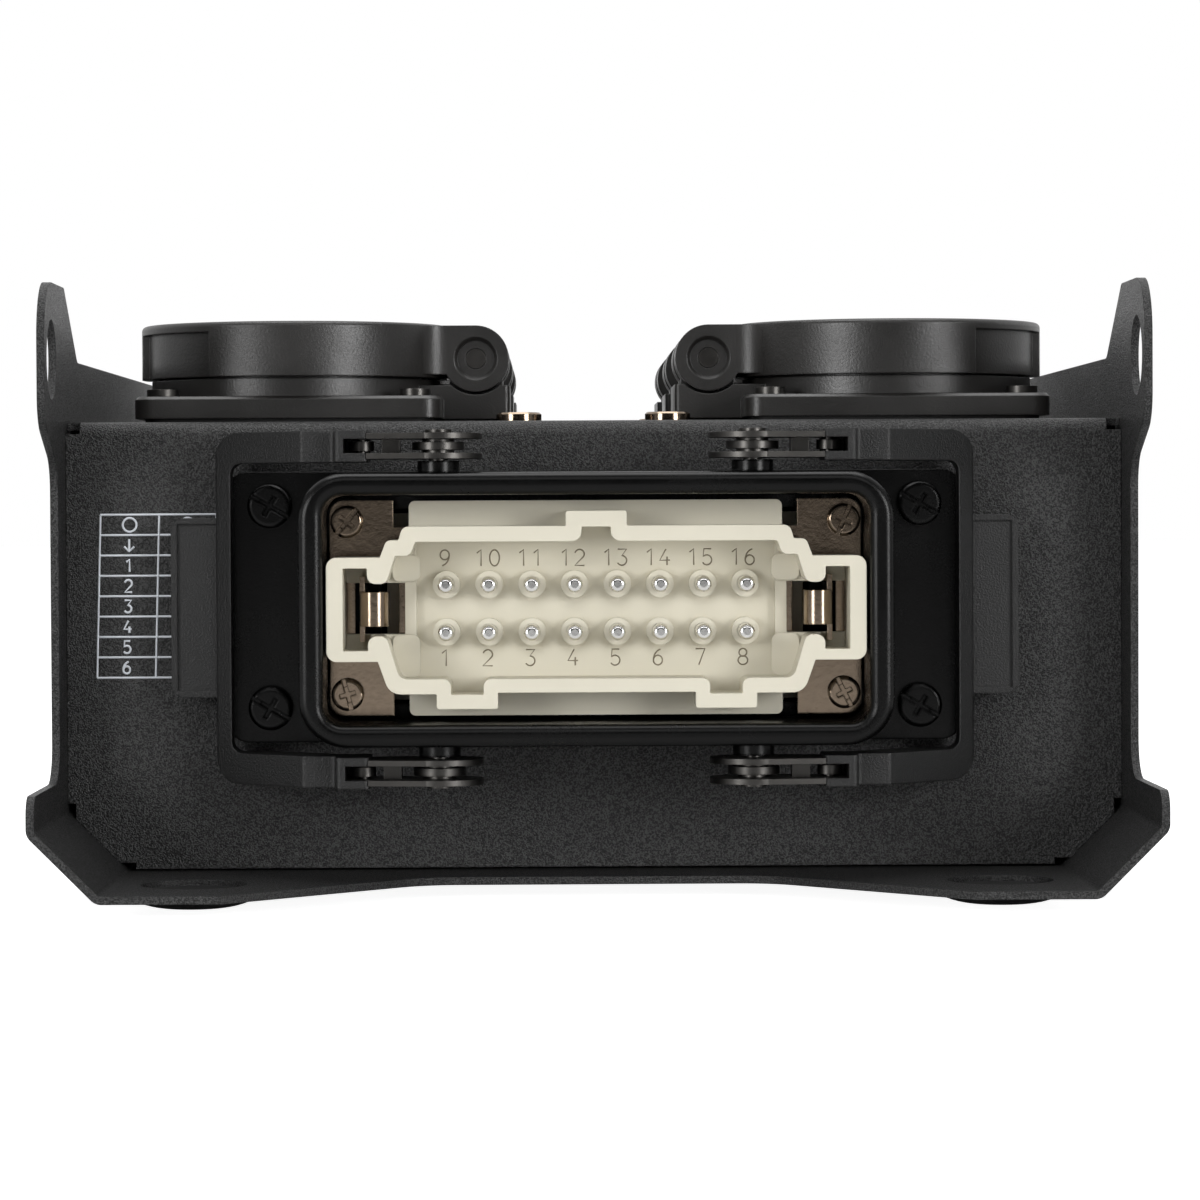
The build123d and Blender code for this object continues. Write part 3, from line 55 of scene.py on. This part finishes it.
def new_material(name):
    """An empty node material with its shader and its output joined."""
    material = bpy.data.materials.new(name)
    material.use_nodes = True
    tree = material.node_tree
    tree.nodes.clear()
    shader = tree.nodes.new("ShaderNodeBsdfPrincipled")
    output = tree.nodes.new("ShaderNodeOutputMaterial")
    tree.links.new(shader.outputs["BSDF"], output.inputs["Surface"])
    return material, tree, shader


def noise(tree, scale, detail=3.0, roughness=0.55):
    """Noise in the object's own space, with scale in features per metre."""
    coordinates = tree.nodes.new("ShaderNodeTexCoord")
    node = tree.nodes.new("ShaderNodeTexNoise")
    node.inputs["Scale"].default_value = scale
    node.inputs["Detail"].default_value = detail
    node.inputs["Roughness"].default_value = roughness
    tree.links.new(coordinates.outputs["Object"], node.inputs["Vector"])
    return node.outputs["Fac"]


def ramp(tree, value, low, high, start, end):
    """A colour ramp from start to end as the value goes from low to high."""
    node = tree.nodes.new("ShaderNodeValToRGB")
    node.color_ramp.elements[0].position = low
    node.color_ramp.elements[0].color = (*start, 1.0)
    node.color_ramp.elements[1].position = high
    node.color_ramp.elements[1].color = (*end, 1.0)
    tree.links.new(value, node.inputs["Fac"])
    return node.outputs["Color"]


def grey(value):
    """A colour with no hue."""
    return (value, value, value)


def soft_edges(tree, radius):
    """A normal that rounds the edges a little, as moulding and coating do."""
    node = tree.nodes.new("ShaderNodeBevel")
    node.samples = 4
    node.inputs["Radius"].default_value = radius
    return node.outputs["Normal"]


def bump(tree, height, distance, normal):
    """Relief of a given depth, laid over a normal."""
    node = tree.nodes.new("ShaderNodeBump")
    node.inputs["Strength"].default_value = 1.0
    node.inputs["Distance"].default_value = distance
    tree.links.new(height, node.inputs["Height"])
    tree.links.new(normal, node.inputs["Normal"])
    return node.outputs["Normal"]


def mix_values(tree, first, second, share):
    """Adds a share of the second value to the first."""
    node = tree.nodes.new("ShaderNodeMath")
    node.operation = "MULTIPLY_ADD"
    node.inputs[1].default_value = share
    tree.links.new(second, node.inputs[0])
    tree.links.new(first, node.inputs[2])
    return node.outputs[0]


def surface(name, colour, rough, metallic=0.0, grain=900.0, grain_height=0.04, spread=0.25,
            rough_spread=0.1, edge=0.15, specular=0.5):
    """One finished surface: colour and roughness that vary gently, fine grain and soft edges."""
    material, tree, shader = new_material(name)
    broad = noise(tree, 60.0, 4.0)
    dark = tuple(c * (1.0 - spread) for c in colour)
    light = tuple(min(1.0, c * (1.0 + spread)) for c in colour)
    tree.links.new(ramp(tree, broad, 0.3, 0.7, dark, light), shader.inputs["Base Color"])
    fine = noise(tree, grain)
    rough_low, rough_high = grey(max(0.02, rough - rough_spread)), grey(min(1.0, rough + rough_spread))
    tree.links.new(ramp(tree, mix_values(tree, broad, fine, 0.4), 0.35, 1.0, rough_low, rough_high),
                   shader.inputs["Roughness"])
    shader.inputs["Metallic"].default_value = metallic
    shader.inputs["Specular IOR Level"].default_value = specular
    rounded = soft_edges(tree, edge * MM)
    tree.links.new(bump(tree, fine, grain_height * MM, rounded), shader.inputs["Normal"])
    return material


def powder_coat():
    """Fine texture black powder coat: a dense grain of small bright and dark specks."""
    speck_colour = grey(0.04)
    speck_depth = 0.22 * MM
    edge_radius = 0.25 * MM
    material, tree, shader = new_material("powder_coat")
    grain = noise(tree, 4300.0, 1.0, 0.5)
    coarse = noise(tree, 1700.0, 2.0, 0.6)
    broad = noise(tree, 35.0, 3.0)
    specks = mix_values(tree, grain, coarse, 0.2)
    base = ramp(tree, broad, 0.3, 0.7, grey(0.002), grey(0.003))
    mixer = tree.nodes.new("ShaderNodeMix")
    mixer.data_type = "RGBA"
    tree.links.new(ramp(tree, specks, 0.52, 0.7, grey(0.0), grey(1.0)), mixer.inputs["Factor"])
    tree.links.new(base, mixer.inputs["A"])
    mixer.inputs["B"].default_value = (*speck_colour, 1.0)
    tree.links.new(mixer.outputs["Result"], shader.inputs["Base Color"])
    tree.links.new(ramp(tree, specks, 0.35, 0.65, grey(0.62), grey(0.36)), shader.inputs["Roughness"])
    shader.inputs["Specular IOR Level"].default_value = 0.4
    rounded = soft_edges(tree, edge_radius)
    tree.links.new(bump(tree, specks, speck_depth, rounded), shader.inputs["Normal"])
    return material


MATERIALS = {
    "steel_black": powder_coat(),
    "rubber_black": surface("foot_rubber", grey(0.006), 0.6, grain=1500.0, grain_height=0.015),
    "plastic_black": surface("outlet_plastic", (0.0135, 0.0125, 0.0115), 0.36, grain=2400.0,
                             grain_height=0.035, edge=0.3, specular=0.6),
    "plastic_lever": surface("lever_plastic", grey(0.0035), 0.4, grain=3200.0, grain_height=0.12, edge=0.35),
    # Housing finish: its own black, with the base pushed to near zero as painted shade for the flange lying
    # in the lever bows' shadow.
    "housing_black": surface("housing_coat_and_painted_shade", grey(0.0008), 0.24, grain=2600.0, grain_height=0.006,
                             edge=0.5, specular=0.25),
    "plastic_cream": surface("insert_plastic", (0.68, 0.645, 0.535), 0.42, grain=1200.0,
                             grain_height=0.006, spread=0.03, rough_spread=0.06, edge=0.2, specular=0.3),
    "nickel": surface("nickel_plate", (0.30, 0.235, 0.175), 0.13, metallic=1.0, grain=1400.0,
                      grain_height=0.008, spread=0.2, rough_spread=0.07, edge=0.25),
    "silver": surface("silver_plate", (0.88, 0.87, 0.85), 0.16, metallic=1.0, grain=1400.0,
                      grain_height=0.004, spread=0.05, rough_spread=0.05, edge=0.05),
    "steel_zinc": surface("zinc_steel", (0.5, 0.48, 0.45), 0.3, metallic=1.0, grain=1500.0,
                          grain_height=0.01, spread=0.12, edge=0.1),
    "steel_dark": surface("dark_steel", (0.075, 0.072, 0.068), 0.34, metallic=1.0, grain=1500.0,
                          grain_height=0.012, spread=0.2, edge=0.15),
    "brass": surface("brass", (0.72, 0.52, 0.24), 0.28, metallic=1.0, grain=1200.0,
                     grain_height=0.008, spread=0.08, edge=0.1),
}
ink_white = surface("printed_ink", (0.72, 0.75, 0.80), 0.6, grain=3600.0, grain_height=0.02, spread=0.06)
# Painted shade: a darker cream laid on the insert face to stand for the shade inside the moulded recessed
# numbers.
painted_numeral_shade = surface("numeral_recess_painted_shade", (0.27, 0.235, 0.17), 0.6, grain=1200.0, grain_height=0.004,
                        spread=0.05, specular=0.2)


def dress_nodes():
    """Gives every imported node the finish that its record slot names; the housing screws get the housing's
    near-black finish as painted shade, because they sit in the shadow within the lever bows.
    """
    slots = {part["node"]: part["material_slot"] for part in frame["record"]["subparts"]}
    # Painted shade: the inlet housing screws take the near-black housing finish in place of their own steel,
    # since they sit in the lever bows' shadow.
    slots["inlet_housing_screws"] = "housing_black"
    for name, obj in frame["nodes"].items():
        material = MATERIALS[slots[name]]
        for index in range(len(obj.material_slots)):
            obj.material_slots[index].material = material


# Numerals and the printed grid, drawn as single strokes

def arc(x, y, rx, ry, start, end, steps=14):
    """Points round part of an ellipse, with angles in degrees."""
    angles = [math.radians(start + (end - start) * i / steps) for i in range(steps + 1)]
    return [(x + rx * math.cos(a), y + ry * math.sin(a)) for a in angles]


DIGIT_STROKES = {
    "0": [arc(0.3, 0.5, 0.3, 0.5, 90, 450, 28)],
    "1": [[(0.1, 0.8), (0.36, 1.0), (0.36, 0.0)]],
    "2": [arc(0.3, 0.71, 0.29, 0.29, 165, -35) + [(0.0, 0.0), (0.6, 0.0)]],
    "3": [[(0.03, 1.0), (0.57, 1.0), (0.28, 0.6)] + arc(0.28, 0.3, 0.3, 0.3, 80, -150)],
    "4": [[(0.38, 1.0), (0.0, 0.3), (0.62, 0.3)], [(0.45, 0.52), (0.45, 0.0)]],
    "5": [[(0.55, 1.0), (0.1, 1.0), (0.05, 0.54)] + arc(0.28, 0.31, 0.3, 0.31, 125, -150)],
    "6": [arc(0.3, 0.3, 0.28, 0.3, 0, 360, 24), arc(0.62, 0.32, 0.6, 0.68, 180, 105)],
    "7": [[(0.0, 1.0), (0.58, 1.0), (0.2, 0.0)]],
    "8": [arc(0.3, 0.76, 0.24, 0.24, 0, 360, 24), arc(0.3, 0.27, 0.3, 0.27, 0, 360, 24)],
    "9": [arc(0.3, 0.7, 0.28, 0.3, 0, 360, 24), arc(-0.02, 0.68, 0.6, 0.68, 0, -75)],
}
DIGIT_WIDTH = 0.6
DIGIT_GAP = 0.3
STROKE_FLATNESS = 0.2


def number_strokes(number, x, z, height):
    """The strokes of a number centred on a place, in metres on the front of the box."""
    digits = str(number)
    width = (len(digits) * DIGIT_WIDTH + (len(digits) - 1) * DIGIT_GAP) * height
    strokes = []
    for index, digit in enumerate(digits):
        left = x - width / 2 + index * (DIGIT_WIDTH + DIGIT_GAP) * height
        for line in DIGIT_STROKES[digit]:
            strokes.append([(left + u * height, z + (v - 0.5) * height) for u, v in line])
    return strokes


def stroke_piece(name, strokes, radius, y, material, body):
    """Thin raised lines along the strokes, flattened on a plane that faces the front."""
    curve = bpy.data.curves.new(name, "CURVE")
    curve.dimensions = "3D"
    curve.bevel_depth = radius
    curve.bevel_resolution = 1
    curve.use_fill_caps = True
    for stroke in strokes:
        spline = curve.splines.new("POLY")
        spline.points.add(len(stroke) - 1)
        for point, (x, z) in zip(spline.points, stroke):
            point.co = (x, 0.0, z, 1.0)
    source = bpy.data.objects.new(name + "_line", curve)
    bpy.context.collection.objects.link(source)
    graph = bpy.context.evaluated_depsgraph_get()
    mesh = bpy.data.meshes.new_from_object(source.evaluated_get(graph))
    bpy.data.objects.remove(source)
    for vertex in mesh.vertices:
        vertex.co.y = y + vertex.co.y * STROKE_FLATNESS
    mesh.materials.clear()
    mesh.materials.append(material)
    piece = bpy.data.objects.new(name, mesh)
    bpy.context.collection.objects.link(piece)
    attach(piece, body)


def make_pin_numerals():
    """Plain numbers beside the pins: 9 to 16 above, 1 to 8 below, drawn in a darker cream as painted shade
    of moulded recessed numbers.
    """
    columns = 8
    terminal_half = 2.6 * MM
    shift_left = 0.3 * MM
    row_offset = 7.8 * MM
    numeral_height = 2.5 * MM
    stroke_radius = 0.13 * MM
    first = pins_low[0] + terminal_half - shift_left
    pitch = (pins_high[0] - pins_low[0] - 2 * terminal_half) / (columns - 1)
    strokes = []
    for column in range(columns):
        x = first + column * pitch
        strokes += number_strokes(column + 1, x, insert_centre_z - row_offset, numeral_height)
        strokes += number_strokes(column + 1 + columns, x, insert_centre_z + row_offset, numeral_height)
    stroke_piece("pin_numerals", strokes, stroke_radius, insert_front, painted_numeral_shade, "box")


def make_printed_grid():
    """The ruled grid printed on the panel beside the left lever, with plain numbers in its rows."""
    top, bottom = 60.44 * MM, 34.42 * MM
    lean = 0.71 * MM
    left, middle, right = -78.8 * MM, -69.43 * MM, -60.3 * MM
    rows = 8
    heading_rows = 2
    numeral_height = 1.95 * MM
    circle_radius = 1.1
    stroke_radius = 0.2 * MM
    proud = 0.01 * MM
    step = (top - bottom) / rows

    def place(x, row):
        z = top - row * step
        return (x - lean * row / rows, z)

    strokes = [[place(left, row), place(right, row)] for row in range(rows + 1)]
    strokes += [[place(x, 0), place(x, rows)] for x in (left, middle, right)]
    for column_left, column_right in ((left, middle), (middle, right)):
        centre = (column_left + column_right) / 2
        for row in range(heading_rows, rows):
            x, z = place(centre, row + 0.5)
            strokes += number_strokes(row - heading_rows + 1, x, z, numeral_height)
        x, z = place(centre, 0.5)
        circle = arc(0, 0, circle_radius, circle_radius, 0, 360, 24)
        strokes += [[(x + u * MM, z + v * MM) for u, v in circle]]
        x, z = place(centre, 1.5)
        strokes += [[(x, z + 1.0 * MM), (x, z - 1.0 * MM)],
                    [(x - 0.8 * MM, z - 0.2 * MM), (x, z - 1.0 * MM), (x + 0.8 * MM, z - 0.2 * MM)]]
    y = panel_front - proud
    stroke_piece("printed_grid", strokes, stroke_radius, y, ink_white, "box")


# Floor, light and camera

def seen_factor(tree):
    """One where the camera, a reflection or a clear material looks, and zero for plain light."""
    path = tree.nodes.new("ShaderNodeLightPath")
    total = path.outputs["Is Camera Ray"]
    for name in ("Is Glossy Ray", "Is Transmission Ray"):
        node = tree.nodes.new("ShaderNodeMath")
        node.operation = "MAXIMUM"
        tree.links.new(total, node.inputs[0])
        tree.links.new(path.outputs[name], node.inputs[1])
        total = node.outputs[0]
    return total


def make_floor():
    """A pale floor that looks as white as the backdrop and still takes the shadow."""
    size = 6.0
    glow = 0.92
    mesh = bpy.data.meshes.new("floor")
    corners = [(-size, -size, 0.0), (size, -size, 0.0), (size, size, 0.0), (-size, size, 0.0)]
    mesh.from_pydata(corners, [], [(0, 1, 2, 3)])
    floor = bpy.data.objects.new("floor", mesh)
    bpy.context.collection.objects.link(floor)
    material, tree, shader = new_material("floor_paper")
    shader.inputs["Base Color"].default_value = (0.85, 0.85, 0.85, 1.0)
    shader.inputs["Roughness"].default_value = 0.9
    shader.inputs["Specular IOR Level"].default_value = 0.1
    shader.inputs["Emission Color"].default_value = (1.0, 1.0, 1.0, 1.0)
    lift = tree.nodes.new("ShaderNodeMath")
    lift.operation = "MULTIPLY"
    lift.inputs[1].default_value = glow
    path = tree.nodes.new("ShaderNodeLightPath")
    tree.links.new(path.outputs["Is Camera Ray"], lift.inputs[0])
    tree.links.new(lift.outputs[0], shader.inputs["Emission Strength"])
    mesh.materials.append(material)


def make_world():
    """A studio with a white backdrop, which reflections see darker in front of the box."""
    fill_strength = 0.14
    front_shade = 0.02
    world = bpy.data.worlds.new("studio")
    bpy.context.scene.world = world
    world.use_nodes = True
    tree = world.node_tree
    tree.nodes.clear()
    output = tree.nodes.new("ShaderNodeOutputWorld")
    backdrop = tree.nodes.new("ShaderNodeBackground")
    backdrop.inputs["Strength"].default_value = 1.0
    fill = tree.nodes.new("ShaderNodeBackground")
    fill.inputs["Color"].default_value = (1.0, 1.0, 1.0, 1.0)
    fill.inputs["Strength"].default_value = fill_strength
    coordinates = tree.nodes.new("ShaderNodeTexCoord")
    parts = tree.nodes.new("ShaderNodeSeparateXYZ")
    tree.links.new(coordinates.outputs["Generated"], parts.inputs["Vector"])
    depth = tree.nodes.new("ShaderNodeMapRange")
    depth.inputs["From Min"].default_value = -0.75
    depth.inputs["From Max"].default_value = 0.2
    tree.links.new(parts.outputs["Y"], depth.inputs["Value"])
    shade = ramp(tree, depth.outputs["Result"], 0.0, 1.0, grey(front_shade), grey(1.0))
    path = tree.nodes.new("ShaderNodeLightPath")
    direct = tree.nodes.new("ShaderNodeMix")
    direct.data_type = "RGBA"
    tree.links.new(path.outputs["Is Camera Ray"], direct.inputs["Factor"])
    tree.links.new(shade, direct.inputs["A"])
    direct.inputs["B"].default_value = (1.0, 1.0, 1.0, 1.0)
    tree.links.new(direct.outputs["Result"], backdrop.inputs["Color"])
    mixer = tree.nodes.new("ShaderNodeMixShader")
    tree.links.new(seen_factor(tree), mixer.inputs["Fac"])
    tree.links.new(fill.outputs["Background"], mixer.inputs[1])
    tree.links.new(backdrop.outputs["Background"], mixer.inputs[2])
    tree.links.new(mixer.outputs["Shader"], output.inputs["Surface"])


def area_light(name, place, target, width, height, power):
    """A rectangular lamp that points at a target, with its power in watts."""
    data = bpy.data.lights.new(name, "AREA")
    data.shape = "RECTANGLE"
    data.size = width
    data.size_y = height
    data.energy = power
    light = bpy.data.objects.new(name, data)
    bpy.context.collection.objects.link(light)
    light.location = place
    direction = Vector(target) - Vector(place)
    light.rotation_euler = direction.to_track_quat("-Z", "Y").to_euler()


def make_lights():
    """Soft light from both sides in front, with weaker light from above."""
    middle = (0.0, -0.05, 0.05)
    area_light("key_top", (0.0, -0.1, 0.95), middle, 0.9, 0.5, 5.0)
    area_light("front_top", (0.0, -1.5, 0.95), middle, 1.5, 0.5, 4.0)
    area_light("left_front", (-0.95, -1.2, 0.25), middle, 0.45, 0.6, 8.5)
    area_light("right_front", (0.95, -1.2, 0.25), middle, 0.45, 0.6, 10.0)


def make_camera():
    """The photograph's view: a long lens a little left of the middle, level with the inlet."""
    focal_px = 4150.0
    frame_px = 1200.0
    sensor_mm = 36.0
    distance = 0.663
    left_of_centre = 0.0066
    height = 0.0613
    aim_right_px = 600.0 - 553.5
    aim_down_px = 600.0 - 507.0
    roll = -0.00489
    data = bpy.data.cameras.new("camera")
    data.sensor_width = sensor_mm
    data.lens = focal_px / frame_px * sensor_mm
    data.clip_start = 0.01
    camera = bpy.data.objects.new("camera", data)
    bpy.context.collection.objects.link(camera)
    yaw = math.atan(aim_right_px / focal_px)
    pitch = math.atan(aim_down_px / focal_px)
    turn = Matrix.Rotation(-yaw, 4, "Z") @ Matrix.Rotation(math.pi / 2 - pitch, 4, "X")
    place = Matrix.Translation((-left_of_centre, panel_front - distance, height))
    camera.matrix_world = place @ turn @ Matrix.Rotation(roll, 4, "Z")
    bpy.context.scene.camera = camera


dress_nodes()
make_pin_numerals()
make_printed_grid()
make_floor()
make_world()
make_lights()
make_camera()

scene = bpy.context.scene
scene.view_settings.view_transform = "Standard"
